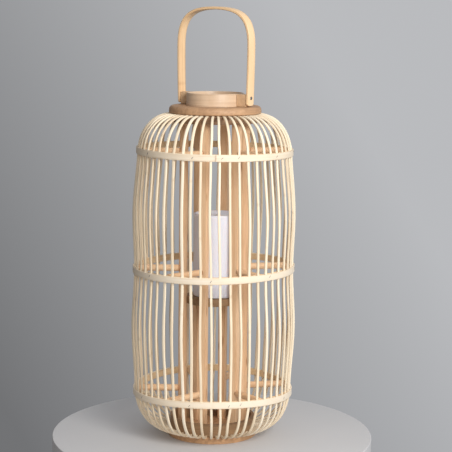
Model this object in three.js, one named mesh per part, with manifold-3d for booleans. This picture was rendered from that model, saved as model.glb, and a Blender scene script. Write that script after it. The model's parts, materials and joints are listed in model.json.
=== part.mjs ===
// Candle lantern for floor or garden: a barrel cage of split bamboo round a frame of square posts.
// A pillar candle stands on a shelf between the posts and lifts out through the collar on top.
// Millimetres, +Z up. The origin is the centre of the base's underside. The strap handle turns
// on two nails whose common axis lies along X. Azimuths are in degrees, from +X towards +Y.
import * as THREE from 'three';
import { mergeVertices } from 'three/addons/utils/BufferGeometryUtils.js';
import Module from 'manifold-3d';

const wasm = await Module();
wasm.setup();

// Driving dimensions
const touchGap = 0.3;
const ringSegments = 40;

const baseDisc = { radius: 83, thickness: 12 };
const endRing = { outerRadius: 79, wall: 6, baseHeight: 23.7, topHeight: 16 };
const rim = { outerRadius: 84.8, innerRadius: 53.4, bottom: 603, thickness: 14, rounding: 8 };
const collar = { outerRadius: 53, wall: 3.5, bottom: 603.5, top: 640 };

const rib = { count: 52, firstAzimuth: 26.1, width: 4.8, thickness: 3.2, endRadius: 79.4 };
// Ribs in each panel, in order round the cage. Two panels meet at the outer corner of every bay
// between the posts.
const panelRibs = [4, 3, 4, 4, 4, 4, 3, 3, 3, 5, 4, 4, 4, 3];
const hoopLevels = { bottom: 90.5, middle: 316, top: 533.5 };
const cageRadii = { bottom: 146.4, middle: 147.7, top: 142 };
// How far the ribs bow outwards halfway between the middle hoop and the next.
const ribBow = { bottom: 4.6, top: 4.4 };
const shoulders = { bottom: { pullUp: 45, pullOut: 45 }, top: { pullUp: 35, pullOut: 39 } };
const shoulderSteps = 4;
const footLath = { thickness: 2, height: 4 };

const hoop = { height: 12, outerThickness: 2.6, innerThickness: 2.8, outerSlack: 0.6, innerSlack: 1.7 };
const hoopSegments = rib.count;

const post = { side: 12, circleRadius: 57.2 };
const posts = [
  { azimuth: -13.5, twist: 24.5, reach: -13.5 },
  { azimuth: 49, twist: -14, reach: 47 },
  { azimuth: 106, twist: 5, reach: 106 },
  { azimuth: 155, twist: 16, reach: 145 },
  { azimuth: 225, twist: 35, reach: 219 },
  { azimuth: 287, twist: 0, reach: 270 },
];
const spoke = { radius: 6.25, tenonRadius: 3, tenonPastAxis: 1, sides: 8 };

const shelf = { bottom: 250.5, thickness: 13.5 };
const shelfNail = { radius: 1, headRadius: 2.4, headThickness: 1, intoShelf: 10, sides: 8 };
const nailedPosts = [1, 2, 3];

const candle = { radius: 41.8, height: 153.5, wellRadius: 36, wellDepth: 8 };
const candlePlace = { x: 3.2, y: 2.2 };
const wick = { radius: 1.2, aboveWell: 5.5, belowWell: 16, sides: 8 };

const handle = { width: 20, thickness: 5, pivotHeight: 633, pivotHalfSpan: 75.4 };
const handleFoot = { drop: 13.5, corner: 4 };
const arch = { halfSpan: 77.7, springHeight: 725, crownHeight: 793.2, steps: 8 };
const block = { width: 18, bottom: 617.3, top: 639.5 };
const nail = { radius: 1.5, headRadius: 3.2, headThickness: 1.2, tipHalfSpan: 60, sides: 8 };

// Finishes
const finishes = {
  bambooPale: { color: 0xe9d9b8, roughness: 0.55, metalness: 0 },
  bambooHoney: { color: 0xe0b98a, roughness: 0.45, metalness: 0 },
  wood: { color: 0xc48f62, roughness: 0.65, metalness: 0 },
  woodDark: { color: 0xa97c58, roughness: 0.7, metalness: 0 },
  wax: { color: 0xf3f0f2, roughness: 0.4, metalness: 0 },
  cotton: { color: 0x3a3330, roughness: 0.95, metalness: 0 },
  steel: { color: 0x8d8a88, roughness: 0.35, metalness: 1 },
};

const lantern = new THREE.Group();

function addPart(name, geometry, finish, parent = lantern) {
  const mesh = new THREE.Mesh(geometry, new THREE.MeshStandardMaterial(finishes[finish]));
  mesh.name = name;
  parent.add(mesh);
  return mesh;
}

// Shape helpers
const radians = THREE.MathUtils.degToRad;

function toSolid(geometry) {
  const bare = geometry.clone();
  bare.deleteAttribute('normal');
  bare.deleteAttribute('uv');
  const merged = mergeVertices(bare);
  return new wasm.Manifold(new wasm.Mesh({
    numProp: 3,
    vertProperties: new Float32Array(merged.attributes.position.array),
    triVerts: new Uint32Array(merged.index.array),
  }));
}

function toGeometry(solid) {
  const mesh = solid.getMesh();
  const geometry = new THREE.BufferGeometry();
  geometry.setAttribute('position', new THREE.BufferAttribute(mesh.vertProperties, mesh.numProp));
  geometry.setIndex(new THREE.BufferAttribute(mesh.triVerts, 1));
  geometry.computeVertexNormals();
  return geometry;
}

function cut(geometry, tools) {
  const cutters = tools.map(toSolid);
  const result = cutters.reduce((solid, cutter) => solid.subtract(cutter), toSolid(geometry));
  return toGeometry(result);
}

// A profile of [radius, height] pairs, anticlockwise, turned about the Z axis.
function turned(profile, segments) {
  const points = profile.map(([radius, height]) => new THREE.Vector2(radius, height));
  return new THREE.LatheGeometry(points, segments).rotateX(Math.PI / 2);
}

function tube(outerRadius, innerRadius, bottom, top, segments) {
  return turned([
    [innerRadius, bottom],
    [outerRadius, bottom],
    [outerRadius, top],
    [innerRadius, top],
    [innerRadius, bottom],
  ], segments);
}

// A round bar along +X from one x to another.
function barAlongX(radius, fromX, toX, sides) {
  const bar = new THREE.CylinderGeometry(radius, radius, toX - fromX, sides);
  return bar.rotateZ(-Math.PI / 2).translate((fromX + toX) / 2, 0, 0);
}

// A headed nail along +X, its head at the far end.
function nailAlongX(size, tipX, headX) {
  return turned([
    [0, tipX],
    [size.radius, tipX],
    [size.radius, headX],
    [size.headRadius, headX],
    [size.headRadius, headX + size.headThickness],
    [0, headX + size.headThickness],
  ], size.sides).rotateY(Math.PI / 2);
}

// Base disc, the two end rings, the rim and the collar
const ringBottom = baseDisc.thickness + touchGap;
const ringTop = rim.bottom - touchGap;
const endRingInner = endRing.outerRadius - endRing.wall;
const rimTop = rim.bottom + rim.thickness;

addPart('base_disc', turned([
  [0, 0],
  [baseDisc.radius, 0],
  [baseDisc.radius, baseDisc.thickness],
  [0, baseDisc.thickness],
], ringSegments), 'woodDark');

addPart('base_ring', tube(
  endRing.outerRadius, endRingInner, ringBottom, ringBottom + endRing.baseHeight, ringSegments,
), 'woodDark');

addPart('top_ring', tube(
  endRing.outerRadius, endRingInner, ringTop - endRing.topHeight, ringTop, ringSegments,
), 'wood');

function rimProfile() {
  const profile = [[rim.innerRadius, rim.bottom], [rim.outerRadius, rim.bottom]];
  const arcSteps = 3;
  for (let step = 0; step <= arcSteps; step += 1) {
    const angle = (step / arcSteps) * (Math.PI / 2);
    profile.push([
      rim.outerRadius - rim.rounding * (1 - Math.cos(angle)),
      rimTop - rim.rounding * (1 - Math.sin(angle)),
    ]);
  }
  profile.push([rim.innerRadius, rimTop], [rim.innerRadius, rim.bottom]);
  return profile;
}

addPart('rim_ring', turned(rimProfile(), ringSegments), 'wood');
addPart('collar', tube(
  collar.outerRadius, collar.outerRadius - collar.wall, collar.bottom, collar.top, ringSegments,
), 'bambooHoney');

// Ribs: each is a bent bamboo strip, pressed between the base disc and the rim
function barrelRadius(levelName, share) {
  return cageRadii.middle - (cageRadii.middle - cageRadii[levelName]) * share * share;
}

// Half of a rib's outer face, from the waist past one hoop to the rib's end, as [radius, height].
function halfRibLine(levelName, endLevel) {
  const level = hoopLevels[levelName];
  const rise = level - hoopLevels.middle;
  const lean = (2 * (cageRadii.middle - cageRadii[levelName])) / Math.abs(rise);
  const { pullUp, pullOut } = shoulders[levelName];
  const halfway = new THREE.Vector2(
    barrelRadius(levelName, 0.5) + ribBow[levelName],
    hoopLevels.middle + rise / 2,
  );
  const bend = new THREE.CubicBezierCurve(
    new THREE.Vector2(cageRadii[levelName], level),
    new THREE.Vector2(
      cageRadii[levelName] - lean * pullUp,
      level + Math.sign(rise) * pullUp,
    ),
    new THREE.Vector2(rib.endRadius + pullOut, endLevel),
    new THREE.Vector2(rib.endRadius, endLevel),
  );
  return [halfway, ...bend.getPoints(shoulderSteps)];
}

function ribOuterLine() {
  return [
    ...halfRibLine('bottom', ringBottom).reverse(),
    new THREE.Vector2(cageRadii.middle, hoopLevels.middle),
    ...halfRibLine('top', ringTop),
  ];
}

// The line moved inwards by a distance, square to itself, with its ends kept at the end radius.
function movedInwards(line, distance) {
  return line.map((point, index) => {
    const before = line[Math.max(index - 1, 0)];
    const after = line[Math.min(index + 1, line.length - 1)];
    const along = after.clone().sub(before).normalize();
    const moved = new THREE.Vector2(point.x - along.y * distance, point.y + along.x * distance);
    const isEnd = index === 0 || index === line.length - 1;
    return isEnd ? new THREE.Vector2(rib.endRadius, moved.y) : moved;
  });
}

const ribOutline = [
  ...ribOuterLine(),
  ...movedInwards(ribOuterLine(), rib.thickness).reverse(),
];

function ribGeometry(azimuth) {
  const geometry = new THREE.ExtrudeGeometry(new THREE.Shape(ribOutline), {
    depth: rib.width,
    bevelEnabled: false,
  });
  geometry.rotateX(Math.PI / 2).translate(0, rib.width / 2, 0);
  return geometry.rotateZ(radians(azimuth));
}

// A short arc of lath that ties the rib feet of one panel together.
function footLathGeometry(fromAzimuth, toAzimuth) {
  const inner = rib.endRadius;
  const outer = rib.endRadius + footLath.thickness;
  const shape = new THREE.Shape();
  shape.absarc(0, 0, outer, radians(fromAzimuth), radians(toAzimuth), false);
  shape.absarc(0, 0, inner, radians(toAzimuth), radians(fromAzimuth), true);
  const geometry = new THREE.ExtrudeGeometry(shape, {
    depth: footLath.height,
    bevelEnabled: false,
    curveSegments: 4,
  });
  return geometry.translate(0, 0, ringBottom);
}

const ribStep = 360 / rib.count;

function ribPanelGeometry(firstAzimuth, ribs) {
  const lastAzimuth = firstAzimuth + (ribs - 1) * ribStep;
  const solids = [toSolid(footLathGeometry(firstAzimuth, lastAzimuth))];
  for (let index = 0; index < ribs; index += 1) {
    solids.push(toSolid(ribGeometry(firstAzimuth + index * ribStep)));
  }
  return toGeometry(solids.reduce((joined, solid) => joined.add(solid)));
}

let panelAzimuth = rib.firstAzimuth;
panelRibs.forEach((ribs, index) => {
  addPart(`rib_panel_${index + 1}`, ribPanelGeometry(panelAzimuth, ribs), 'bambooPale');
  panelAzimuth += ribs * ribStep;
});

// Hoops: one outside and one inside the ribs at each level
function innerHoopRadii(levelName) {
  const outer = cageRadii[levelName] - rib.thickness - hoop.innerSlack;
  return { outer, inner: outer - hoop.innerThickness };
}

// A hoop has one facet per rib gap, so its corners lie on the ribs.
function hoopGeometry(outerRadius, innerRadius, level) {
  const bottom = level - hoop.height / 2;
  return tube(outerRadius, innerRadius, bottom, bottom + hoop.height, hoopSegments)
    .rotateZ(radians(rib.firstAzimuth));
}

for (const [levelName, level] of Object.entries(hoopLevels)) {
  const overRibs = cageRadii[levelName] + hoop.outerSlack;
  const outerHoop = hoopGeometry(overRibs + hoop.outerThickness, overRibs, level);
  addPart(`outer_hoop_${levelName}`, outerHoop, 'bambooPale');
  const { outer, inner } = innerHoopRadii(levelName);
  addPart(`inner_hoop_${levelName}`, hoopGeometry(outer, inner, level), 'bambooHoney');
}

// Posts and spokes: a spoke runs from its post's socket out to the inner hoop
const halfSide = post.side / 2;
const postHeight = ringTop - ringBottom;

function pointAt(radius, azimuth) {
  return new THREE.Vector2(radius * Math.cos(radians(azimuth)), radius * Math.sin(radians(azimuth)));
}

// Where a spoke points, where its shoulder meets the post and where its outer end stops.
function spokeLayout(place, levelName) {
  const start = pointAt(post.circleRadius, place.azimuth);
  const facetDip = Math.cos(Math.PI / hoopSegments);
  const hoopInside = innerHoopRadii(levelName).inner * facetDip - touchGap;
  const aim = pointAt(hoopInside, place.reach);
  const skew = aim.clone().sub(start).angle() - aim.angle();
  const endRadius = hoopInside - spoke.radius * Math.abs(Math.sin(skew)) - touchGap;
  const run = pointAt(endRadius, place.reach).sub(start);
  const turn = run.angle() - radians(place.azimuth + place.twist);
  const shoulderX = halfSide * (Math.abs(Math.cos(turn)) + Math.abs(Math.sin(turn))) + touchGap;
  return { start, angle: run.angle(), shoulderX, endX: run.length() };
}

function spokeGeometry(layout) {
  return turned([
    [0, -spoke.tenonPastAxis],
    [spoke.tenonRadius, -spoke.tenonPastAxis],
    [spoke.tenonRadius, layout.shoulderX],
    [spoke.radius, layout.shoulderX],
    [spoke.radius, layout.endX],
    [0, layout.endX],
  ], spoke.sides).rotateY(Math.PI / 2);
}

function placed(geometry, layout, height) {
  return geometry.rotateZ(layout.angle).translate(layout.start.x, layout.start.y, height);
}

function socketCutter(layout, height) {
  const radius = spoke.tenonRadius + touchGap;
  const bar = barAlongX(radius, -spoke.tenonPastAxis - touchGap, 2 * post.side, spoke.sides);
  return placed(bar, layout, height);
}

// The square post, or with a margin the notch that clears it.
function postGeometry(place, margin = 0) {
  const side = post.side + 2 * margin;
  const centre = pointAt(post.circleRadius, place.azimuth);
  return new THREE.BoxGeometry(side, side, postHeight)
    .rotateZ(radians(place.azimuth + place.twist))
    .translate(centre.x, centre.y, ringBottom + postHeight / 2);
}

// Shelf: a wooden disc between the posts, notched where a post's corner reaches into it
const shelfTop = shelf.bottom + shelf.thickness;
const shelfRadius = post.circleRadius - halfSide - touchGap;
const shelfNailHeight = shelf.bottom + shelf.thickness / 2;

function shelfNailHeadX(place) {
  const twist = radians(place.twist);
  const reach = halfSide * (Math.abs(Math.cos(twist)) + Math.abs(Math.sin(twist)));
  return post.circleRadius + reach + touchGap;
}

function shelfNailHole(place) {
  return barAlongX(
    shelfNail.radius + touchGap,
    shelfRadius - shelfNail.intoShelf - touchGap,
    post.circleRadius + post.side,
    shelfNail.sides,
  ).rotateZ(radians(place.azimuth)).translate(0, 0, shelfNailHeight);
}

posts.forEach((place, index) => {
  const cutters = Object.entries(hoopLevels).map(
    ([levelName, level]) => socketCutter(spokeLayout(place, levelName), level),
  );
  if (nailedPosts.includes(index)) {
    cutters.push(shelfNailHole(place));
  }
  addPart(`post_${index + 1}`, cut(postGeometry(place), cutters), 'wood');
  for (const [levelName, level] of Object.entries(hoopLevels)) {
    const layout = spokeLayout(place, levelName);
    addPart(`spoke_${levelName}_${index + 1}`, placed(spokeGeometry(layout), layout, level), 'wood');
  }
});

const shelfBlank = turned([
  [0, shelf.bottom],
  [shelfRadius, shelf.bottom],
  [shelfRadius, shelfTop],
  [0, shelfTop],
], ringSegments);
addPart('candle_shelf', cut(shelfBlank, [
  ...posts.map((place) => postGeometry(place, touchGap)),
  ...nailedPosts.map((index) => shelfNailHole(posts[index])),
]), 'woodDark');

nailedPosts.forEach((postIndex, index) => {
  const place = posts[postIndex];
  const geometry = nailAlongX(shelfNail, shelfRadius - shelfNail.intoShelf, shelfNailHeadX(place));
  geometry.rotateZ(radians(place.azimuth)).translate(0, 0, shelfNailHeight);
  addPart(`shelf_nail_${index + 1}`, geometry, 'steel');
});

// Candle and wick: it stands loose and a little off centre; the wick is in a hole below the well
const candleGroup = new THREE.Group();
candleGroup.position.set(candlePlace.x, candlePlace.y, shelfTop + touchGap);
lantern.add(candleGroup);

const wellFloor = candle.height - candle.wellDepth;
const wickHole = wick.radius + touchGap;

addPart('candle', turned([
  [0, 0],
  [candle.radius, 0],
  [candle.radius, candle.height],
  [candle.wellRadius, candle.height],
  [candle.wellRadius, wellFloor],
  [wickHole, wellFloor],
  [wickHole, wellFloor - wick.belowWell],
  [0, wellFloor - wick.belowWell],
], ringSegments), 'wax', candleGroup);

addPart('candle_wick', turned([
  [0, wellFloor - wick.belowWell + touchGap],
  [wick.radius, wellFloor - wick.belowWell + touchGap],
  [wick.radius, wellFloor + wick.aboveWell],
  [0, wellFloor + wick.aboveWell],
], wick.sides), 'cotton', candleGroup);

// Handle: one bent strap, a block under each leg and a nail through both
function strapCentreLine() {
  const leg = new THREE.QuadraticBezierCurve(
    new THREE.Vector2(handle.pivotHalfSpan, handle.pivotHeight - handleFoot.drop - 1),
    new THREE.Vector2(arch.halfSpan, (handle.pivotHeight + arch.springHeight) / 2),
    new THREE.Vector2(arch.halfSpan, arch.springHeight),
  ).getPoints(4);
  const bend = new THREE.CubicBezierCurve(
    new THREE.Vector2(arch.halfSpan, arch.springHeight),
    new THREE.Vector2(arch.halfSpan, arch.springHeight + 0.8 * (arch.crownHeight - arch.springHeight)),
    new THREE.Vector2(0.68 * arch.halfSpan, arch.crownHeight),
    new THREE.Vector2(0, arch.crownHeight),
  ).getPoints(arch.steps);
  const right = [...leg, ...bend.slice(1)];
  const left = right.slice(0, -1).reverse().map((point) => new THREE.Vector2(-point.x, point.y));
  return [...right, ...left];
}

function offsetLine(line, distance) {
  return line.map((point, index) => {
    const before = line[Math.max(index - 1, 0)];
    const after = line[Math.min(index + 1, line.length - 1)];
    const along = after.clone().sub(before).normalize();
    return new THREE.Vector2(point.x + along.y * distance, point.y - along.x * distance);
  });
}

function strapGeometry() {
  const centre = strapCentreLine();
  const outline = [
    ...offsetLine(centre, handle.thickness / 2),
    ...offsetLine(centre, -handle.thickness / 2).reverse(),
  ];
  const strap = new THREE.ExtrudeGeometry(new THREE.Shape(outline), {
    depth: 2 * handle.width,
    bevelEnabled: false,
  }).rotateX(Math.PI / 2).translate(0, handle.width, 0);

  const halfWidth = handle.width / 2;
  const cornerY = halfWidth - handleFoot.corner;
  const cornerZ = handle.pivotHeight - handleFoot.drop + handleFoot.corner;
  const sideTop = arch.crownHeight + handle.thickness;
  const sideShape = new THREE.Shape();
  sideShape.absarc(-cornerY, cornerZ, handleFoot.corner, Math.PI, 1.5 * Math.PI, false);
  sideShape.absarc(cornerY, cornerZ, handleFoot.corner, 1.5 * Math.PI, 2 * Math.PI, false);
  sideShape.lineTo(halfWidth, sideTop);
  sideShape.lineTo(-halfWidth, sideTop);
  const reach = arch.halfSpan + handle.thickness;
  const sideView = new THREE.ExtrudeGeometry(sideShape, {
    depth: 2 * reach,
    bevelEnabled: false,
    curveSegments: 4,
  })
    .rotateX(Math.PI / 2)
    .rotateZ(Math.PI / 2)
    .translate(-reach, 0, 0);
  const nailHole = barAlongX(nail.radius + touchGap, -reach, reach, nail.sides)
    .translate(0, 0, handle.pivotHeight);
  return toGeometry(toSolid(strap).intersect(toSolid(sideView)).subtract(toSolid(nailHole)));
}

addPart('handle_strap', strapGeometry(), 'bambooHoney');

const strapInside = handle.pivotHalfSpan - handle.thickness / 2;
const strapOutside = handle.pivotHalfSpan + handle.thickness / 2;

for (const [side, turn] of [['right', 0], ['left', Math.PI]]) {
  const blockOuterX = strapInside - 2 * touchGap;
  const blockInnerX = collar.outerRadius - collar.wall;
  const blockBlank = new THREE.BoxGeometry(
    blockOuterX - blockInnerX, block.width, block.top - block.bottom,
  ).translate((blockOuterX + blockInnerX) / 2, 0, (block.top + block.bottom) / 2);
  const collarSpace = new THREE.CylinderGeometry(
    collar.outerRadius + touchGap, collar.outerRadius + touchGap, 2 * collar.top, ringSegments,
  ).rotateX(Math.PI / 2);
  const nailHole = barAlongX(
    nail.radius + touchGap, nail.tipHalfSpan - touchGap, strapOutside, nail.sides,
  ).translate(0, 0, handle.pivotHeight);
  const blockGeometry = cut(blockBlank, [collarSpace, nailHole]);
  addPart(`handle_block_${side}`, blockGeometry.rotateZ(turn), 'wood');

  const nailGeometry = nailAlongX(nail, nail.tipHalfSpan, strapOutside + 2 * touchGap);
  nailGeometry.translate(0, 0, handle.pivotHeight).rotateZ(turn);
  addPart(`handle_nail_${side}`, nailGeometry, 'steel');
}

export default lantern;
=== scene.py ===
import json
import math
import random

import bpy
from mathutils import Matrix, Vector


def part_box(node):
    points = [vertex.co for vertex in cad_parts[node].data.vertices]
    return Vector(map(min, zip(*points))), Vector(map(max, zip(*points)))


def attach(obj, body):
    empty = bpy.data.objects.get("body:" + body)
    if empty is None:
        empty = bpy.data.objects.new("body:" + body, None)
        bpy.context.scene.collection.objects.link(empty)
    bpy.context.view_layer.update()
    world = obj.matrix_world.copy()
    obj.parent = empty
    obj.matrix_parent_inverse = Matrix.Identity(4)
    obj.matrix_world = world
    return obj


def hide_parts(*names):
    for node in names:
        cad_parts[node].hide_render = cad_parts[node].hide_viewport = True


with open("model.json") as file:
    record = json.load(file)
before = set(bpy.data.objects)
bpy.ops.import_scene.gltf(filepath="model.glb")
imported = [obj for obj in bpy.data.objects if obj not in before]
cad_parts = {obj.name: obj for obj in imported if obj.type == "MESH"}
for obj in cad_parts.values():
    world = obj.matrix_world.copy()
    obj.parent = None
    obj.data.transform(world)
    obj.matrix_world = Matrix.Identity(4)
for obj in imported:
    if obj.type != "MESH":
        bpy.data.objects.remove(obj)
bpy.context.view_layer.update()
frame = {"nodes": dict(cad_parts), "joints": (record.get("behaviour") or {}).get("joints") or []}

MM = 0.001
UP = Vector((0, 0, 1))
dice = random.Random(52)


# ---------------------------------------------------------------- sizes, from the frame

def middle(node):
    low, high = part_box(node)
    return (low + high) / 2


def half_width(node):
    low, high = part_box(node)
    return (high.x - low.x) / 2


def corner_points(node):
    return [vertex.co.copy() for vertex in frame["nodes"][node].data.vertices]


PANEL_RIBS = (4, 3, 4, 4, 4, 4, 3, 3, 3, 5, 4, 4, 4, 3)
RIB_FIRST_AZIMUTH = 26.1
RIB_STEP = 360 / sum(PANEL_RIBS)
CAGE_TWIST = math.radians(1.1)
RIB_WIDTH = 4.8 * MM
RIB_THICKNESS = 3.2 * MM
RIB_END_RADIUS = half_width("base_ring") + 0.4 * MM
RIB_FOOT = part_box("base_ring")[0].z
RIB_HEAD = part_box("top_ring")[1].z
SHOULDER_PULL_UP = {"bottom": 45 * MM, "top": 35 * MM}
SHOULDER_PULL_OUT = {"bottom": 45 * MM, "top": 39 * MM}
RIB_BOW = {"bottom": 4.6 * MM, "top": 4.4 * MM}

LEVELS = ("bottom", "middle", "top")
HOOP_HEIGHT = 12 * MM
HOOP_OVER_RIB = 3.2 * MM
HOOP_Z = {level: middle(f"outer_hoop_{level}").z for level in LEVELS}
CAGE_RADIUS = {level: half_width(f"outer_hoop_{level}") - HOOP_OVER_RIB for level in LEVELS}

PIVOT = Vector(next(j["pos_m"] for j in frame["joints"] if j["name"] == "handle_swing"))
VIEW_AZIMUTH = math.radians(35)
VIEW_RIGHT = Vector((math.cos(VIEW_AZIMUTH), math.sin(VIEW_AZIMUTH), 0))
VIEW_BACK = Vector((math.sin(VIEW_AZIMUTH), -math.cos(VIEW_AZIMUTH), 0))


# ---------------------------------------------------------------- materials

def add_node(tree, kind, settings=None, **sockets):
    """A shader node; a socket value that is itself a socket is linked."""
    made = tree.nodes.new(kind)
    for key, value in (settings or {}).items():
        setattr(made, key, value)
    for key, value in sockets.items():
        socket = made.inputs[int(key[1:])] if key[0] == "_" else made.inputs[key.replace("_", " ")]
        if isinstance(value, bpy.types.NodeSocket):
            tree.links.new(value, socket)
        else:
            socket.default_value = value
    return made


def maths(tree, operation, first, second=0.0, clamp=False):
    settings = {"operation": operation, "use_clamp": clamp}
    return add_node(tree, "ShaderNodeMath", settings, _0=first, _1=second).outputs[0]


def noise(tree, place, scale, detail=2.0, distortion=0.0, roughness=0.5):
    stretched = add_node(tree, "ShaderNodeMapping", Vector=place, Scale=scale).outputs[0]
    made = add_node(
        tree, "ShaderNodeTexNoise", Vector=stretched, Scale=1.0, Detail=detail,
        Distortion=distortion, Roughness=roughness,
    )
    return made.outputs[0]


def remap(tree, value, low, high, to_low=0.0, to_high=1.0):
    settings = {"interpolation_type": "SMOOTHSTEP"}
    made = add_node(
        tree, "ShaderNodeMapRange", settings, _0=value, _1=low, _2=high, _3=to_low, _4=to_high,
    )
    return made.outputs[0]


def ramp(tree, value, stops):
    made = add_node(tree, "ShaderNodeValToRGB", Fac=value)
    elements = made.color_ramp.elements
    while len(elements) < len(stops):
        elements.new(0.5)
    for element, (position, colour) in zip(elements, stops):
        element.position = position
        element.color = (*colour, 1.0)
    return made.outputs[0]


def new_material(name):
    material = bpy.data.materials.new(name)
    material.use_nodes = True
    tree = material.node_tree
    shader = tree.nodes["Principled BSDF"]
    return material, tree, shader


def attribute(tree, name, output):
    return add_node(tree, "ShaderNodeAttribute", {"attribute_name": name}).outputs[output]


def bump(tree, shader, height, depth, strength=1.0):
    made = add_node(tree, "ShaderNodeBump", Strength=strength, Distance=depth, Height=height)
    tree.links.new(made.outputs[0], shader.inputs["Normal"])


def bamboo(name, pale, mid, deep, inner_tint_and_shade=0.06, joint_rate=2.2, joint_depth=0.22, gloss=0.45):
    """Split bamboo: fine fibres along the strip, broader streaks, tone by piece, joint lines and
    painted shade.
    """
    material, tree, shader = new_material(name)
    grain = attribute(tree, "grain", "Vector")
    tone = attribute(tree, "tone", "Fac")
    edge = attribute(tree, "edge", "Fac")
    fibres = noise(tree, grain, (1500, 24, 1500), detail=2)
    streaks = noise(tree, grain, (420, 6, 420), detail=3, distortion=0.4)
    blotches = noise(tree, grain, (70, 22, 70), detail=2)
    along = add_node(tree, "ShaderNodeSeparateXYZ", Vector=grain)
    steps = maths(tree, "MULTIPLY", along.outputs[1], joint_rate)
    joints = add_node(
        tree, "ShaderNodeTexVoronoi",
        {"voronoi_dimensions": "1D", "feature": "DISTANCE_TO_EDGE"}, W=steps, Scale=1.0,
    ).outputs[0]
    joint_line = remap(tree, joints, 0.0, 0.012, 1.0, 0.0)

    shade = maths(tree, "MULTIPLY", streaks, 0.55)
    shade = maths(tree, "ADD", shade, maths(tree, "MULTIPLY", fibres, 0.25))
    shade = maths(tree, "ADD", shade, maths(tree, "MULTIPLY", blotches, 0.25))
    shade = maths(tree, "ADD", shade, maths(tree, "MULTIPLY", tone, 0.6))
    shade = maths(tree, "SUBTRACT", shade, 0.33)
    # Darker inner face: partly the bamboo's own inner side, partly painted shade for the inside of
    # the cage.
    inner_side_and_shade = remap(tree, along.outputs[2], -1.2 * MM, 0.6 * MM, inner_tint_and_shade, 0.0)
    shade = maths(tree, "ADD", shade, inner_side_and_shade)
    # Rounded corners darkened: painted shade where the faces turn away from the light.
    shade = maths(tree, "ADD", shade, maths(tree, "MULTIPLY", edge, 0.12))
    shade = maths(tree, "ADD", shade, maths(tree, "MULTIPLY", joint_line, joint_depth), clamp=True)
    colour = ramp(tree, shade, [(0.1, pale), (0.5, mid), (0.95, deep)])
    tree.links.new(colour, shader.inputs["Base Color"])
    roughness = remap(tree, fibres, 0.2, 0.8, gloss - 0.08, gloss + 0.14)
    tree.links.new(roughness, shader.inputs["Roughness"])
    height = maths(tree, "ADD", fibres, maths(tree, "MULTIPLY", streaks, 0.6))
    height = maths(tree, "ADD", height, maths(tree, "MULTIPLY", joint_line, 3 * joint_depth))
    bump(tree, shader, height, 0.25 * MM, 0.5)
    return material


def wood(name, pale, mid, deep, use_object=False, knots=0.5, gloss=0.55):
    """Sawn wood: growth bands and pores along the grain, a few knots, arrises darkened as painted
    shade.
    """
    material, tree, shader = new_material(name)
    if use_object:
        grain = add_node(tree, "ShaderNodeTexCoord").outputs["Object"]
    else:
        grain = attribute(tree, "grain", "Vector")
    tone = attribute(tree, "tone", "Fac")
    edge = attribute(tree, "edge", "Fac")
    bands = noise(tree, grain, (110, 4.5, 110), detail=3, distortion=1.2, roughness=0.6)
    pores = noise(tree, grain, (1100, 34, 1100), detail=2)
    clouds = noise(tree, grain, (30, 10, 30), detail=2)
    spots_place = add_node(tree, "ShaderNodeMapping", Vector=grain, Scale=(60, 13, 60)).outputs[0]
    spots = add_node(tree, "ShaderNodeTexVoronoi", Vector=spots_place, Scale=1.0).outputs[0]
    knot = maths(tree, "MULTIPLY", remap(tree, spots, 0.06, 0.2, 1.0, 0.0), knots)

    shade = maths(tree, "MULTIPLY", bands, 0.9)
    shade = maths(tree, "ADD", shade, maths(tree, "MULTIPLY", pores, 0.3))
    shade = maths(tree, "ADD", shade, maths(tree, "MULTIPLY", clouds, 0.35))
    shade = maths(tree, "ADD", shade, maths(tree, "MULTIPLY", tone, 0.35))
    shade = maths(tree, "SUBTRACT", shade, 0.5)
    # Arrises darkened: painted shade; the dowels' roots carry a strong painted shadow through this
    # too.
    shade = maths(tree, "ADD", shade, maths(tree, "MULTIPLY", edge, 0.15))
    shade = maths(tree, "ADD", shade, knot, clamp=True)
    colour = ramp(tree, shade, [(0.05, pale), (0.5, mid), (1.0, deep)])
    tree.links.new(colour, shader.inputs["Base Color"])
    roughness = remap(tree, pores, 0.2, 0.8, gloss - 0.08, gloss + 0.15)
    tree.links.new(roughness, shader.inputs["Roughness"])
    height = maths(tree, "ADD", pores, maths(tree, "MULTIPLY", bands, 0.8))
    bump(tree, shader, height, 0.3 * MM, 0.5)
    return material


def wax(name):
    material, tree, shader = new_material(name)
    grain = attribute(tree, "grain", "Vector")
    clouds = noise(tree, grain, (24, 24, 24), detail=3)
    specks = noise(tree, grain, (420, 420, 420), detail=1)
    speck_mask = remap(tree, specks, 0.66, 0.78)
    shade = maths(tree, "MULTIPLY", clouds, 0.5)
    shade = maths(tree, "ADD", shade, maths(tree, "MULTIPLY", speck_mask, 0.5))
    colour = ramp(tree, shade, [(0.1, (0.81, 0.83, 0.93)), (0.9, (0.70, 0.71, 0.79))])
    tree.links.new(colour, shader.inputs["Base Color"])
    tree.links.new(remap(tree, clouds, 0.3, 0.7, 0.34, 0.5), shader.inputs["Roughness"])
    shader.inputs["Subsurface Weight"].default_value = 0.35
    shader.inputs["Subsurface Radius"].default_value = (1.0, 0.8, 0.7)
    shader.inputs["Subsurface Scale"].default_value = 0.006
    height = maths(tree, "ADD", clouds, maths(tree, "MULTIPLY", specks, 0.2))
    bump(tree, shader, height, 0.5 * MM, 0.4)
    return material


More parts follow.
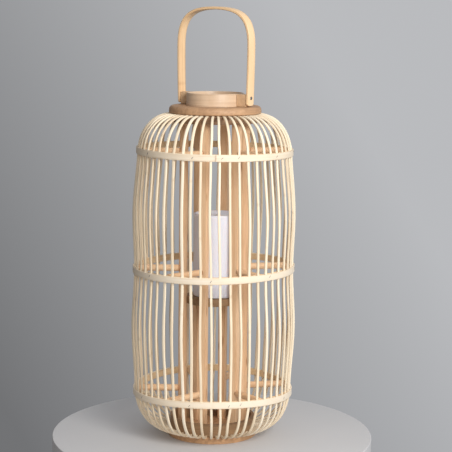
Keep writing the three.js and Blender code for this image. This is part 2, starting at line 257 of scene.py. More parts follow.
def cotton(name):
    material, tree, shader = new_material(name)
    grain = attribute(tree, "grain", "Vector")
    plaits = add_node(
        tree, "ShaderNodeTexWave", {"bands_direction": "DIAGONAL"},
        Vector=add_node(tree, "ShaderNodeMapping", Vector=grain, Scale=(900, 900, 900)).outputs[0],
        Scale=1.0, Distortion=1.5,
    ).outputs[1]
    colour = ramp(tree, plaits, [(0.0, (0.36, 0.32, 0.26)), (1.0, (0.78, 0.74, 0.66))])
    tree.links.new(colour, shader.inputs["Base Color"])
    shader.inputs["Roughness"].default_value = 0.92
    bump(tree, shader, plaits, 0.2 * MM, 0.8)
    return material


def steel(name):
    material, tree, shader = new_material(name)
    place = add_node(tree, "ShaderNodeTexCoord").outputs["Object"]
    scuffs = noise(tree, place, (900, 900, 900), detail=3)
    colour = ramp(tree, scuffs, [(0.3, (0.20, 0.19, 0.18)), (0.8, (0.42, 0.41, 0.40))])
    tree.links.new(colour, shader.inputs["Base Color"])
    tree.links.new(remap(tree, scuffs, 0.2, 0.8, 0.3, 0.55), shader.inputs["Roughness"])
    shader.inputs["Metallic"].default_value = 1.0
    bump(tree, shader, scuffs, 0.1 * MM, 0.3)
    return material


RIB_BAMBOO = bamboo(
    "rib_bamboo", (0.92, 0.84, 0.70), (0.82, 0.70, 0.52), (0.52, 0.37, 0.22), joint_depth=0.13,
)
HOOP_BAMBOO = bamboo(
    "hoop_bamboo", (0.86, 0.78, 0.67), (0.79, 0.67, 0.51), (0.47, 0.33, 0.21),
    inner_tint_and_shade=0.1, joint_depth=0.08,
)
INNER_BAMBOO = bamboo(
    "inner_hoop_bamboo", (0.90, 0.70, 0.45), (0.78, 0.57, 0.34), (0.46, 0.29, 0.15), inner_tint_and_shade=0.1,
)
HANDLE_BAMBOO = bamboo(
    "handle_bamboo", (0.87, 0.66, 0.43), (0.77, 0.53, 0.30), (0.42, 0.22, 0.10),
    inner_tint_and_shade=0.1, joint_depth=0.1, gloss=0.36,
)
COLLAR_BAMBOO = bamboo(
    "collar_bamboo", (0.73, 0.58, 0.43), (0.61, 0.45, 0.31), (0.34, 0.20, 0.11),
    inner_tint_and_shade=0.0, joint_depth=0.02, gloss=0.30,
)
POST_WOOD = wood("post_wood", (0.88, 0.65, 0.43), (0.77, 0.50, 0.29), (0.45, 0.23, 0.11))
# The top ring's wood is painted very dark: painted shade for the shadow under the rim.
SHADED_RING_WOOD = wood(
    "ring_wood_painted_shade", (0.40, 0.25, 0.14), (0.28, 0.16, 0.085), (0.13, 0.07, 0.035), knots=0.2,
)
RIM_WOOD = wood(
    "rim_wood", (0.58, 0.37, 0.215), (0.46, 0.275, 0.15), (0.27, 0.145, 0.075), knots=0.2,
)
BASE_WOOD = wood(
    "base_wood", (0.70, 0.43, 0.235), (0.55, 0.32, 0.165), (0.28, 0.145, 0.07), knots=0.2,
)
SHELF_WOOD = wood(
    "shelf_wood", (0.42, 0.28, 0.15), (0.30, 0.18, 0.09), (0.14, 0.075, 0.035), knots=0.2,
)
BLOCK_WOOD = wood(
    "block_wood", (0.66, 0.45, 0.27), (0.52, 0.33, 0.185), (0.30, 0.17, 0.085),
    use_object=True, knots=0.2,
)
WAX = wax("candle_wax")
COTTON = cotton("wick_cotton")
STEEL = steel("nail_steel")


# ---------------------------------------------------------------- mesh helpers

def add_piece(name, points, faces, material, body, replaced=(), grain=None, edge=None,
              tone=0.5, sharp_angle=40):
    """A mesh piece with grain, tone and edge attributes for its material, riding a body."""
    mesh = bpy.data.meshes.new(name)
    mesh.from_pydata([tuple(p) for p in points], [], faces)
    mesh.validate()
    mesh.materials.append(material)
    shift = Vector((dice.uniform(0, 3), dice.uniform(0, 9), 0))
    grain_layer = mesh.attributes.new("grain", "FLOAT_VECTOR", "POINT")
    values = [tuple(Vector(g) + shift) for g in (grain or points)]
    grain_layer.data.foreach_set("vector", [x for value in values for x in value])
    tone_layer = mesh.attributes.new("tone", "FLOAT", "POINT")
    tone_layer.data.foreach_set("value", [tone] * len(points))
    edge_layer = mesh.attributes.new("edge", "FLOAT", "POINT")
    edge_layer.data.foreach_set("value", edge or [0.0] * len(points))
    mesh.shade_smooth()
    mesh.set_sharp_from_angle(angle=math.radians(sharp_angle))
    piece = bpy.data.objects.new(name, mesh)
    bpy.context.scene.collection.objects.link(piece)
    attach(piece, body)
    if replaced:
        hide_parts(*replaced)
    return piece


def strip_section(width, thickness, corner, crown=0.0, flat_steps=2, corner_steps=3):
    """A rounded rectangle as (across, outwards, edge), anticlockwise, its outer face crowned."""
    half_w, half_t = width / 2, thickness / 2
    centres = [(half_w - corner, half_t - corner), (corner - half_w, half_t - corner),
               (corner - half_w, corner - half_t), (half_w - corner, corner - half_t)]
    points = []
    for index, (x, y) in enumerate(centres):
        for step in range(corner_steps + 1):
            angle = math.pi / 2 * (index + step / corner_steps)
            points.append((x + corner * math.cos(angle), y + corner * math.sin(angle), 1.0))
        next_x, next_y = centres[(index + 1) % 4]
        end_angle = math.pi / 2 * (index + 1)
        offset = (corner * math.cos(end_angle), corner * math.sin(end_angle))
        for step in range(1, flat_steps + 1):
            share = step / (flat_steps + 1)
            points.append((
                x + (next_x - x) * share + offset[0], y + (next_y - y) * share + offset[1], 0.0,
            ))
    return [
        (x, y + (crown * (1 - (x / half_w) ** 2) if y > 0 else 0.0), edge) for x, y, edge in points
    ]


def round_section(radius, sides):
    angles = [2 * math.pi * k / sides for k in range(sides)]
    return [(radius * math.cos(angle), radius * math.sin(angle), 0.0) for angle in angles]


def sweep(path, sides, sections, closed=False):
    """Points, faces, grain and edge values of a section carried along a path."""
    points, grain, edges, faces = [], [], [], []
    travelled = 0.0
    count = len(path)
    for index, place in enumerate(path):
        before = path[index - 1] if (index or closed) else place
        after = path[(index + 1) % count] if (index < count - 1 or closed) else place
        along = (after - before).normalized()
        side = (sides[index] - along * sides[index].dot(along)).normalized()
        outwards = side.cross(along)
        if index:
            travelled += (place - path[index - 1]).length
        for across, out, edge in sections[index]:
            points.append(place + side * across + outwards * out)
            grain.append((across, travelled, out))
            edges.append(edge)
    ring = len(sections[0])
    for row in range(count if closed else count - 1):
        a, b = row * ring, ((row + 1) % count) * ring
        for k in range(ring):
            n = (k + 1) % ring
            faces.append((a + k, b + k, b + n, a + n))
    if not closed:
        faces.append(tuple(range(ring)))
        faces.append(tuple(reversed(range((count - 1) * ring, count * ring))))
    return points, faces, grain, edges


def turned(profile, centre=Vector((0, 0, 0)), steps=160, grain_round=False):
    """Points, faces and grain of a closed or axis-to-axis profile of (radius, height, edge)."""
    closed = profile[0][0] > 1e-9
    points, grain, edges, faces, rows = [], [], [], [], []
    for radius, height, edge in profile:
        row = []
        for step in range(1 if radius < 1e-9 else steps):
            angle = 2 * math.pi * step / steps
            spot = Vector((radius * math.cos(angle), radius * math.sin(angle), height))
            row.append(len(points))
            points.append(centre + spot)
            folded = abs(angle - math.pi) * radius
            grain.append((height, folded, radius) if grain_round else tuple(spot))
            edges.append(edge)
        rows.append(row)
    pairs = list(zip(rows, rows[1:] + rows[:1])) if closed else list(zip(rows, rows[1:]))
    for low, high in pairs:
        for step in range(steps):
            n = (step + 1) % steps
            if len(low) == 1:
                faces.append((low[0], high[n], high[step]))
            elif len(high) == 1:
                faces.append((low[step], low[n], high[0]))
            else:
                faces.append((low[step], low[n], high[n], high[step]))
    return points, faces, grain, edges


def rounded_profile(corners, steps=4):
    """Corners are (radius, height, rounding); a rounding above 0 becomes a short curve."""
    profile = []
    count = len(corners)
    for index, (r, z, rounding) in enumerate(corners):
        here = Vector((r, z))
        if rounding <= 0:
            profile.append((r, z, 0.0))
            continue
        back = (Vector(corners[index - 1][:2]) - here).normalized()
        ahead = (Vector(corners[(index + 1) % count][:2]) - here).normalized()
        start, end = here + back * rounding, here + ahead * rounding
        for step in range(steps + 1):
            t = step / steps
            spot = start * (1 - t) ** 2 + here * 2 * t * (1 - t) + end * t ** 2
            profile.append((spot.x, spot.y, 1.0))
    return profile


def bezier(a, b, c, d, steps, first=0):
    spots = []
    for step in range(first, steps + 1):
        t = step / steps
        u = 1 - t
        spots.append(a * u ** 3 + b * 3 * u * u * t + c * 3 * u * t * t + d * t ** 3)
    return spots


def polar(radius, azimuth, height=0.0):
    return Vector((radius * math.cos(azimuth), radius * math.sin(azimuth), height))


# ---------------------------------------------------------------- ribs

def half_rib(level, end_height, barrel_steps=14, bend_steps=16):
    """A rib's outer face from the waist to one end, as (radius, height) points."""
    waist_z, waist_r = HOOP_Z["middle"], CAGE_RADIUS["middle"]
    rise = HOOP_Z[level] - waist_z
    bow = waist_r - CAGE_RADIUS[level]
    barrel = []
    for step in range(1, barrel_steps):
        share = step / barrel_steps
        swell = RIB_BOW[level] * math.sin(math.pi * share) ** 2
        barrel.append(Vector((waist_r - bow * share ** 2 + swell, waist_z + rise * share)))
    lean = 2 * bow / abs(rise)
    pull_up, pull_out = SHOULDER_PULL_UP[level], SHOULDER_PULL_OUT[level]
    start = Vector((CAGE_RADIUS[level], HOOP_Z[level]))
    bend = bezier(
        start,
        start + Vector((-lean * pull_up, math.copysign(pull_up, rise))),
        Vector((RIB_END_RADIUS + pull_out, end_height)),
        Vector((RIB_END_RADIUS, end_height)),
        bend_steps,
    )
    return barrel + bend


def rib_line():
    low = half_rib("bottom", RIB_FOOT)
    high = half_rib("top", RIB_HEAD)
    return low[::-1] + [Vector((CAGE_RADIUS["middle"], HOOP_Z["middle"]))] + high


def held_back(height):
    """0 at the hoops and the ends, where a rib is held, and 1 halfway between them."""
    stops = [RIB_FOOT, HOOP_Z["bottom"], HOOP_Z["middle"], HOOP_Z["top"], RIB_HEAD]
    for low, high in zip(stops, stops[1:]):
        if low <= height <= high:
            return math.sin(math.pi * (height - low) / (high - low)) ** 2
    return 0.0


def cage_turn(height):
    """The cage is twisted a little: its ribs lie further round at the bottom than at the top."""
    low, waist, high = (HOOP_Z[level] for level in LEVELS)
    share = (waist - height) / (waist - low)
    return CAGE_TWIST * min(max(share, (waist - high) / (waist - low)), 1.0)


def add_rib(number, panel, line):
    azimuth = math.radians(RIB_FIRST_AZIMUTH + number * RIB_STEP) + dice.gauss(0, 0.0042)
    width = RIB_WIDTH * dice.uniform(0.92, 1.08)
    thickness = RIB_THICKNESS * dice.uniform(0.92, 1.0)
    sway = [dice.gauss(0, 0.9 * MM) for _ in range(4)]
    bulge = [dice.gauss(0, 0.3 * MM) for _ in range(4)]
    curl, roll = dice.gauss(0, 0.05), dice.gauss(0, 0.05)
    section = strip_section(width, thickness, 0.8 * MM, crown=0.25 * MM)
    path, sides = [], []
    for index, spot in enumerate(line):
        span = sum(spot.y > HOOP_Z[level] for level in LEVELS)
        free = held_back(spot.y)
        along = (line[min(index + 1, len(line) - 1)] - line[max(index - 1, 0)]).normalized()
        radius = spot.x - along.y * thickness / 2 + bulge[span] * free
        height = spot.y + along.x * thickness / 2
        outward = polar(1, azimuth + cage_turn(spot.y) + sway[span] * free / radius)
        tangent = Vector((-outward.y, outward.x, 0))
        lean = (curl * math.sin(spot.y * 9 + number) + roll) * free
        path.append(outward * radius + UP * height)
        sides.append(Matrix.Rotation(lean, 3, UP) @ tangent)
    points, faces, grain, edges = sweep(path, sides, [section] * len(path))
    add_piece(
        f"rib_{number + 1:02d}", points, faces, RIB_BAMBOO, "lantern",
        [f"rib_panel_{panel}"], grain, edges, tone=min(max(dice.gauss(0.3, 0.17), 0.0), 0.9),
    )


def add_ribs():
    line = rib_line()
    number = 0
    for panel, ribs in enumerate(PANEL_RIBS, start=1):
        for _ in range(ribs):
            add_rib(number, panel, line)
            number += 1


# ---------------------------------------------------------------- hoops and staples

# In degrees to the right of the front: where each outer hoop's end laps over its beginning, and its
# staples. The lean is how far it rises on the right and the sag how far it drops at both sides, in
# millimetres.
HOOPS = {
    "bottom": {
        "end": 150, "lean": 0.2, "sag": 6.0,
        "staples": (-60, -16, 11.5, 20, 62, 98, 140, 185, 226, 262),
    },
    "middle": {
        "end": 196, "lean": 2.4, "sag": 0.0,
        "staples": (-50, -1.8, 42, 84, 121, 160, 204, 243, 280),
    },
    "top": {
        "end": 0.4, "lean": -1.2, "sag": 0.0,
        "staples": (-56, -15.8, 5.2, 17, 50, 88, 133, 172, 214, 255),
    },
}
STRIP_THICKNESS = 2.5 * MM
STRIP_TIP = 1.3 * MM
LAP = math.radians(15)
SHAVED = math.radians(31)
HOOP_SLACK = 0.15 * MM


def view_azimuth(degrees):
    """The azimuth of a direction given in degrees to the right of the front of the lantern."""
    return math.radians(degrees - 90) + VIEW_AZIMUTH


def hoop_height(level, azimuth, wobble):
    sideways = polar(1, azimuth).dot(VIEW_RIGHT)
    tilt = HOOPS[level]["lean"] * sideways - HOOPS[level]["sag"] * sideways ** 2
    return HOOP_Z[level] + (tilt + wobble * math.sin(2 * azimuth + wobble * 9)) * MM


def strip_thickness(from_end):
    """A hoop's strip is shaved thin towards both of its ends."""
    return STRIP_TIP + (STRIP_THICKNESS - STRIP_TIP) * min(from_end / SHAVED, 1.0) ** 2


def lap_climb(left):
    """How far the last part of a hoop stands off the ribs to pass over its first part."""
    if left < LAP:
        return strip_thickness(LAP - left) + 0.05 * MM
    rise = 1 - min((left - LAP) / LAP, 1.0)
    return (STRIP_TIP + 0.05 * MM) * rise * rise * (3 - 2 * rise)


def hoop_face(level, azimuth):
    """The radius of an outer hoop's outermost face."""
    left = (azimuth - view_azimuth(HOOPS[level]["end"])) % (2 * math.pi)
    gone = (LAP - left) % (2 * math.pi)
    thickness = strip_thickness(left if left < LAP else min(left, gone))
    return CAGE_RADIUS[level] + HOOP_SLACK + lap_climb(left) + thickness


def add_outer_hoop(level):
    start = view_azimuth(HOOPS[level]["end"]) + LAP
    turn = 2 * math.pi + LAP
    steps = 300
    wobble = dice.uniform(-0.35, 0.35)
    path, sides, sections = [], [], []
    cut = math.radians(0.25)
    turns = [0, cut] + [turn * step / steps for step in range(1, steps)] + [turn - cut, turn]
    for gone in turns:
        left = turn - gone
        azimuth = start - gone
        thickness = strip_thickness(min(gone, left))
        radius = CAGE_RADIUS[level] + HOOP_SLACK + lap_climb(left) + thickness / 2
        path.append(polar(radius, azimuth, hoop_height(level, azimuth, wobble)))
        sides.append(-UP)
        sections.append(strip_section(HOOP_HEIGHT, thickness, 0.45 * MM, crown=0.12 * MM))
    points, faces, grain, edges = sweep(path, sides, sections)
    ring = len(sections[0])
    edges[-2 * ring:] = [3.0] * (2 * ring)
    add_piece(
        f"outer_hoop_strip_{level}", points, faces, HOOP_BAMBOO, "lantern",
        [f"outer_hoop_{level}"], grain, edges, tone=dice.uniform(0.12, 0.25),
    )
    return wobble


def add_inner_hoop(level):
    thickness, gap = 2.4 * MM, 0.25 * MM
    steps = 200
    radius = CAGE_RADIUS[level] - RIB_THICKNESS - gap - thickness / 2
    path, sides, sections = [], [], []
    for step in range(steps):
        azimuth = -2 * math.pi * step / steps
        path.append(polar(radius, azimuth, hoop_height(level, azimuth, 0.2)))
        sides.append(-UP)
        sections.append(strip_section(HOOP_HEIGHT, thickness, 0.4 * MM))
    points, faces, grain, edges = sweep(path, sides, sections, closed=True)
    add_piece(
        f"inner_hoop_strip_{level}", points, faces, INNER_BAMBOO, "lantern",
        [f"inner_hoop_{level}"], grain, edges, tone=0.3,
    )


def add_staples(level, wobble):
    """Wire staples with their crown pressed slantwise into the hoop's face."""
    wire, crown, leg = 0.42 * MM, 4.6 * MM, 1.6 * MM
    for number, degrees in enumerate(HOOPS[level]["staples"]):
        azimuth = view_azimuth(degrees)
        outward = polar(1, azimuth)
        tangent = Vector((-outward.y, outward.x, 0))
        slant = math.radians(dice.uniform(38, 58))
        along = tangent * math.cos(slant) + UP * math.sin(slant)
        height = hoop_height(level, azimuth, wobble) + dice.uniform(-1.5, 1.5) * MM
        centre = outward * (hoop_face(level, azimuth) + 0.25 * MM) + UP * height
        corner = 0.7 * MM
        half = crown / 2
        path = [centre - along * half - outward * leg, centre - along * half - outward * corner]
        for step in range(1, 4):
            angle = math.pi / 2 * step / 4
            path.append(
                centre - along * (half - corner * (1 - math.cos(angle)))
                - outward * corner * (1 - math.sin(angle))
            )
        path.append(centre - along * (half - corner))
        mirrored = [centre * 2 - p for p in path]
        mirrored = [p + outward * 2 * (centre - p).dot(outward) for p in mirrored]
        path += mirrored[::-1]
        section = round_section(wire, 8)
        side = along.cross(outward)
        points, faces, grain, edges = sweep(path, [side] * len(path), [section] * len(path))
        add_piece(
            f"staple_{level}_{number + 1:02d}", points, faces, STEEL, "lantern",
            (), grain, edges,
        )


# ---------------------------------------------------------------- posts and spokes

def post_place(number):
    """A post's centre and the direction that one of its faces looks in, from its solid."""
    node = f"post_{number}"
    corners = corner_points(node)
    top = max(p.z for p in corners)
    head = [p for p in corners if top - p.z < 1e-5]
    centre = sum(head, Vector()) / len(head)
    corner = max(head, key=lambda p: (p - centre).length) - centre
    face = math.atan2(corner.y, corner.x) + math.pi / 4
    return Vector((centre.x, centre.y, 0)), face, corner.length * math.sqrt(2)


# One tone per post: partly each post's own wood tone, partly painted light and shade; post 1 is
# painted paler for the shade that falls on it.
POST_TONES_AND_LIGHT = (0.05, 0.55, 0.4, 0.3, 0.4, 0.3)
SPOKE_RADIUS = 6.1 * MM
# How far each row of spokes sits below the middle of its hoop.
SPOKE_DROP = {"bottom": 2.2 * MM, "middle": 0.0, "top": 0.0}


def add_posts_and_spokes():
    for number in range(1, 7):
        centre, face, side_length = post_place(number)
        low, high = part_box(f"post_{number}")
        steps = 24
        path = [centre + UP * (low.z + (high.z - low.z) * k / steps) for k in range(steps + 1)]
        section = strip_section(side_length, side_length, 1.1 * MM, flat_steps=3)
        sides = [polar(1, face)] * len(path)
        points, faces, grain, edges = sweep(path, sides, [section] * len(path))
        add_piece(
            f"square_post_{number}", points, faces, POST_WOOD, "lantern",
            [f"post_{number}"], grain, edges, tone=POST_TONES_AND_LIGHT[number - 1],
        )
        for level in LEVELS:
            add_spoke(number, level, centre, face, side_length)


def add_spoke(number, level, post_centre, post_face, post_side):
    node = f"spoke_{level}_{number}"
    corners = corner_points(node)
    height = middle(node).z - SPOKE_DROP[level]
    reach = sum(corners, Vector()) / len(corners) - post_centre
    reach.z = 0
    direction = reach.normalized()
    length = max((p - post_centre).dot(direction) for p in corners)
    turn = math.atan2(direction.y, direction.x) - post_face
    start = post_side / 2 * (abs(math.cos(turn)) + abs(math.sin(turn))) - 2.2 * MM
    radius = SPOKE_RADIUS * dice.uniform(0.95, 1.03)
    round_off = 1.1 * MM
    stations = [(start, radius * 0.9), (start + 2.2 * MM, radius * 0.9), (start + 2.8 * MM, radius)]
    stations += [(start + (length - start) * k / 10, radius) for k in range(2, 10)]
    for step in range(5):
        angle = math.pi / 2 * step / 4
        stations.append((
            length - round_off * (1 - math.sin(angle)), radius - round_off * (1 - math.cos(angle)),
        ))
    sides = 28
    path, sections = [], []
    for distance, size in stations:
        path.append(post_centre + direction * distance + UP * height)
        sections.append(round_section(size, sides))
    points, faces, grain, edges = sweep(path, [UP] * len(path), sections)
    # The dowel's first rings are painted very dark: a painted shadow in the gap where it meets the
    # post.
    edges[:2 * sides] = [4.0] * (2 * sides)
    add_piece(
        f"dowel_{level}_{number}", points, faces, POST_WOOD, "lantern",
        [node], grain, edges, tone=dice.uniform(0.1, 0.7),
    )


# ---------------------------------------------------------------- turned parts

END_RING_WALL = 6 * MM
RIM_INNER_RADIUS = 53.4 * MM
COLLAR_WALL = 3.5 * MM


def add_turned(name, node, corners, material, body="lantern", tone=0.5, grain_round=False,
               centre=Vector((0, 0, 0)), steps=160):
    points, faces, grain, edges = turned(rounded_profile(corners), centre, steps, grain_round)
    return add_piece(name, points, faces, material, body, [node], grain, edges, tone=tone)


def add_base_and_rim():
    low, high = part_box("base_disc")
    radius = half_width("base_disc")
    add_turned("turned_base_disc", "base_disc", [
        (0, low.z, 0), (radius, low.z, 1.2 * MM), (radius, high.z, 1.8 * MM), (0, high.z, 0),
    ], BASE_WOOD, tone=0.45)

    # The top ring gets the darkened wood: painted shade under the rim.
    for node, material, slot in (
        ("base_ring", SHELF_WOOD, "base_wood"), ("top_ring", SHADED_RING_WOOD, "frame_wood"),
    ):
        low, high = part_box(node)
        outer = half_width(node)
        inner = outer - END_RING_WALL
        soft = 0.8 * MM
        add_turned(f"turned_{node}", node, [
            (inner, low.z, soft), (outer, low.z, soft),
            (outer, high.z, soft), (inner, high.z, soft),
        ], material, tone=0.5, grain_round=True)

    low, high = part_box("rim_ring")
    outer, inner = half_width("rim_ring"), RIM_INNER_RADIUS
    add_turned("turned_rim_ring", "rim_ring", [
        (inner, low.z, 0.8 * MM), (outer, low.z, 2.8 * MM), (outer, high.z, 9 * MM),
        (inner, high.z, 1.2 * MM),
    ], RIM_WOOD, tone=0.5)

    low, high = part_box("collar")
    outer = half_width("collar")
    inner = outer - COLLAR_WALL
    add_turned("bent_collar", "collar", [
        (inner, low.z, 0.3 * MM), (outer, low.z, 0.3 * MM), (outer, high.z, 1.1 * MM),
        (inner, high.z, 1.1 * MM),
    ], COLLAR_BAMBOO, tone=0.35, grain_round=True)


def add_shelf():
    low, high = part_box("candle_shelf")
    radius = half_width("candle_shelf") - 0.2 * MM
    add_turned("turned_shelf", "candle_shelf", [
        (0, low.z, 0), (radius, low.z, 0.9 * MM), (radius, high.z, 0.9 * MM), (0, high.z, 0),
    ], SHELF_WOOD, tone=0.4)


# ---------------------------------------------------------------- nails

def add_nail(name, node, head_radius, shank_radius, head_thickness):
    """A round wire nail along its solid's long direction, with a domed head."""
    corners = corner_points(node)
    centre = sum(corners, Vector()) / len(corners)
    outward = Vector((centre.x, centre.y, 0)).normalized()
    outer = max(p.dot(outward) for p in corners)
    inner = min(p.dot(outward) for p in corners)
    height = middle(node).z
    dome = head_thickness * 0.7
    stations = [(inner, shank_radius * 0.1), (inner + 3 * shank_radius, shank_radius),
                (outer - head_thickness, shank_radius), (outer - head_thickness, head_radius * 0.9),
                (outer - head_thickness * 0.85, head_radius), (outer - dome * 0.75, head_radius)]
    stations += [
        (outer - dome * 0.75 * (1 - math.sin(a)), head_radius * math.cos(a))
        for a in (math.radians(25), math.radians(50), math.radians(72))
    ]
    sides = 20
    path = [outward * distance + UP * height for distance, _ in stations]
    sections = [round_section(size, sides) for _, size in stations]
    points = []
    rows = []
    side = outward.cross(UP)
    for place, section in zip(path, sections):
        rows.append(len(points))
        points += [place + UP * a + side * b for a, b, _ in section]
    faces = []
    for a, b in zip(rows, rows[1:]):
        faces += [(a + (k + 1) % sides, b + (k + 1) % sides, b + k, a + k) for k in range(sides)]
    faces.append(tuple(range(sides)))
    faces.append(tuple(reversed(range(rows[-1], rows[-1] + sides))))
    add_piece(name, points, faces, STEEL, "lantern", [node], sharp_angle=50)


def add_nails():
    for side in ("right", "left"):
        add_nail(f"domed_nail_{side}", f"handle_nail_{side}", 3.2 * MM, 1.5 * MM, 1.3 * MM)
    for number in (1, 2, 3):
        add_nail(f"wire_nail_{number}", f"shelf_nail_{number}", 2.4 * MM, 1.0 * MM, 1.0 * MM)


# ---------------------------------------------------------------- candle

WELL_RADIUS = 36 * MM
WELL_DEPTH = 8 * MM
WICK_HOLE = 1.5 * MM
WICK_RADIUS = 1.05 * MM


def add_candle():
    low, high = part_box("candle")
    centre = middle("candle")
    radius = half_width("candle")
    floor = high.z - WELL_DEPTH
    profile = rounded_profile([
        (0, low.z, 0), (radius, low.z, 2.2 * MM), (radius, high.z, 2.6 * MM),
        (WELL_RADIUS + 1.5 * MM, high.z, 1.8 * MM),
        (WELL_RADIUS - 5 * MM, floor + 0.8 * MM, 4.5 * MM),
        (WICK_HOLE + 4 * MM, floor, 2 * MM), (WICK_HOLE, floor - 1 * MM, 0.5 * MM),
        (0, floor - 2 * MM, 0),
    ], steps=6)
    points, faces, grain, edges = turned(profile, Vector((centre.x, centre.y, 0)), 128)
    add_piece("pillar_candle", points, faces, WAX, "candle", ["candle"], grain, edges)

    wick_low, wick_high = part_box("candle_wick")
    steps = 12
    path, sections = [], []
    for step in range(steps + 1):
        share = step / steps
        bow = 1.1 * MM * max(share - 0.55, 0) ** 2 * 4
        height = wick_low.z + (wick_high.z - wick_low.z) * share
        path.append(Vector((centre.x + bow, centre.y - bow, height)))
        sections.append(round_section(WICK_RADIUS * (1.0 if step < steps else 0.7), 12))
    points, faces, grain, edges = sweep(path, [Vector((1, 0, 0))] * len(path), sections)
    add_piece("cotton_wick", points, faces, COTTON, "candle", ["candle_wick"], grain, edges)


# ---------------------------------------------------------------- handle

HANDLE_WIDTH = 20 * MM
HANDLE_THICKNESS = 5 * MM
HANDLE_PIVOT_HALF = 75.4 * MM
HANDLE_FOOT_DROP = 13.5 * MM
HANDLE_FOOT_CORNER = 4 * MM
HANDLE_SPRING = 725 * MM


def handle_line():
    """The strap's centre line in the X-Z plane, from the foot of the right leg over to the left."""
    low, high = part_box("handle_strap")
    arch_half = high.x - HANDLE_THICKNESS / 2
    crown = high.z - HANDLE_THICKNESS / 2
    foot = Vector((HANDLE_PIVOT_HALF, PIVOT.z - HANDLE_FOOT_DROP))
    knee = Vector((arch_half, (PIVOT.z + HANDLE_SPRING) / 2))
    spring = Vector((arch_half, HANDLE_SPRING))
    foot_rise = 2 * (knee.y - foot.y)
    turns = [math.radians(15 * k) for k in range(7)]
    shares = [HANDLE_FOOT_CORNER * (1 - math.cos(turn)) / foot_rise for turn in turns]
    shares += [shares[-1] + (1 - shares[-1]) * k / 22 for k in range(1, 23)]
    leg = [foot * (1 - t) ** 2 + knee * 2 * t * (1 - t) + spring * t * t for t in shares]
    bend = bezier(
        spring, Vector((arch_half, HANDLE_SPRING + 0.8 * (crown - HANDLE_SPRING))),
        Vector((0.68 * arch_half, crown)), Vector((0, crown)), 30, first=1,
    )
    right = leg + bend
    return right + [Vector((-p.x, p.y)) for p in right[-2::-1]]


def add_handle():
    path, sides, sections = [], [], []
    for spot in handle_line():
        short = max(HANDLE_FOOT_CORNER - (spot.y - PIVOT.z + HANDLE_FOOT_DROP), 0.0)
        corner_cut = HANDLE_FOOT_CORNER - math.sqrt(HANDLE_FOOT_CORNER ** 2 - short ** 2)
        half = HANDLE_WIDTH / 2 - corner_cut
        path.append(Vector((spot.x, 0, spot.y)))
        sides.append(Vector((0, 1, 0)))
        sections.append(
            strip_section(2 * half, HANDLE_THICKNESS, 1.3 * MM, crown=0.2 * MM, flat_steps=4)
        )
    points, faces, grain, edges = sweep(path, sides, sections)
    add_piece(
        "bent_handle_strap", points, faces, HANDLE_BAMBOO, "handle",
        ["handle_strap"], grain, edges, tone=0.35,
    )


def dress_blocks():
    """The two blocks keep their solids, with softened edges."""
    for side in ("right", "left"):
        block = frame["nodes"][f"handle_block_{side}"]
        block.data.materials.clear()
        block.data.materials.append(BLOCK_WOOD)
        weld = block.modifiers.new("weld", "WELD")
        weld.merge_threshold = 0.01 * MM
        bevel = block.modifiers.new("bevel", "BEVEL")
        bevel.width = 0.9 * MM
        bevel.segments = 3
        bevel.limit_method = "ANGLE"
        bevel.angle_limit = math.radians(50)


# ---------------------------------------------------------------- stage, light and camera

def add_floor():
    """A low round plinth of plain pale board."""
    radius, depth = 300 * MM, 60 * MM
    profile = rounded_profile([(0, -depth, 0), (radius, -depth, 0), (radius, 0, 2 * MM), (0, 0, 0)])
    points, faces, _, _ = turned(profile, steps=128)
    mesh = bpy.data.meshes.new("floor")
    mesh.from_pydata([tuple(p) for p in points], [], faces)
    mesh.shade_smooth()
    mesh.set_sharp_from_angle(angle=math.radians(40))
    material, tree, shader = new_material("pale_board")
    place = add_node(tree, "ShaderNodeTexCoord").outputs["Object"]
    soft = noise(tree, place, (3, 3, 3), detail=2)
    colour = ramp(tree, soft, [(0.3, (0.51, 0.51, 0.52)), (0.7, (0.53, 0.53, 0.54))])
    tree.links.new(colour, shader.inputs["Base Color"])
    shader.inputs["Roughness"].default_value = 0.7
    mesh.materials.append(material)
    floor = bpy.data.objects.new("floor", mesh)
    bpy.context.scene.collection.objects.link(floor)


def add_light(name, place, target, size, power, colour):
    lamp = bpy.data.lights.new(name, "AREA")
    lamp.shape = "DISK"
    lamp.size = size
    lamp.energy = power
    lamp.color = colour
    light = bpy.data.objects.new(name, lamp)
    light.location = place
    light.rotation_mode = "QUATERNION"
    light.rotation_quaternion = (target - place).to_track_quat("-Z", "Y")
    bpy.context.scene.collection.objects.link(light)


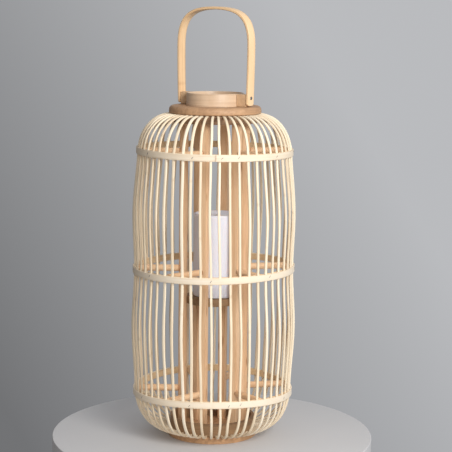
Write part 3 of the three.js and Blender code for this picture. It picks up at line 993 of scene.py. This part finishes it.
def add_backdrop():
    """A soft grey surround, lighter towards the key light's side and upwards."""
    world = bpy.data.worlds.new("studio")
    world.use_nodes = True
    tree = world.node_tree
    ray = add_node(tree, "ShaderNodeTexCoord").outputs["Generated"]
    tilt = tuple(VIEW_RIGHT * 0.95 + UP * 0.6)
    slope = add_node(tree, "ShaderNodeVectorMath", {"operation": "DOT_PRODUCT"}, _0=ray, _1=tilt)
    level = maths(tree, "ADD", slope.outputs["Value"], 0.455)
    grey = add_node(tree, "ShaderNodeClamp", Value=level, Min=0.17, Max=0.5).outputs[0]
    colour = ramp(tree, grey, [(0.0, (0.0, 0.0, 0.0)), (1.0, (0.985, 1.0, 1.035))])
    tree.links.new(colour, tree.nodes["Background"].inputs["Color"])
    bpy.context.scene.world = world


def add_lights():
    aim = Vector((0, 0, 0.35))
    key = aim + VIEW_BACK * 2.12 + VIEW_RIGHT * 1.15 + UP * 1.2
    add_light("key", key, aim, 1.2, 62, (1.0, 0.97, 0.93))
    front = aim + VIEW_BACK * 2.6 + VIEW_RIGHT * 0.55 + UP * 0.9
    add_light("front", front, aim, 0.7, 16, (1.0, 0.98, 0.96))
    side = aim + VIEW_BACK * 2.2 - VIEW_RIGHT * 1.9 + UP * 0.1
    add_light("side", side, aim, 0.9, 8, (1.0, 0.84, 0.66))


def add_camera():
    """At the height of the handle's top, a little turned, tipped down and rolled."""
    distance, height, focal_length = 2.758, 0.794, 119.79
    pitch, yaw, roll = math.radians(8.26), math.radians(0.46), math.radians(0.65)
    camera_data = bpy.data.cameras.new("camera")
    camera_data.sensor_width = 36
    camera_data.lens = focal_length
    camera = bpy.data.objects.new("camera", camera_data)
    heading = VIEW_RIGHT * math.sin(yaw) - VIEW_BACK * math.cos(yaw)
    forward = heading * math.cos(pitch) - UP * math.sin(pitch)
    level = forward.cross(UP).normalized()
    over = level.cross(forward)
    right = level * math.cos(roll) + over * math.sin(roll)
    top = over * math.cos(roll) - level * math.sin(roll)
    basis = Matrix((right, top, -forward)).transposed().to_4x4()
    basis.translation = VIEW_BACK * distance + UP * height
    camera.matrix_world = basis
    bpy.context.scene.collection.objects.link(camera)
    bpy.context.scene.camera = camera
    bpy.context.scene.view_settings.view_transform = "Standard"


add_camera()
add_floor()
add_backdrop()
add_lights()
add_ribs()
for hoop_level in LEVELS:
    hoop_wobble = add_outer_hoop(hoop_level)
    add_inner_hoop(hoop_level)
    add_staples(hoop_level, hoop_wobble)
add_posts_and_spokes()
add_base_and_rim()
add_shelf()
add_nails()
add_candle()
add_handle()
dress_blocks()
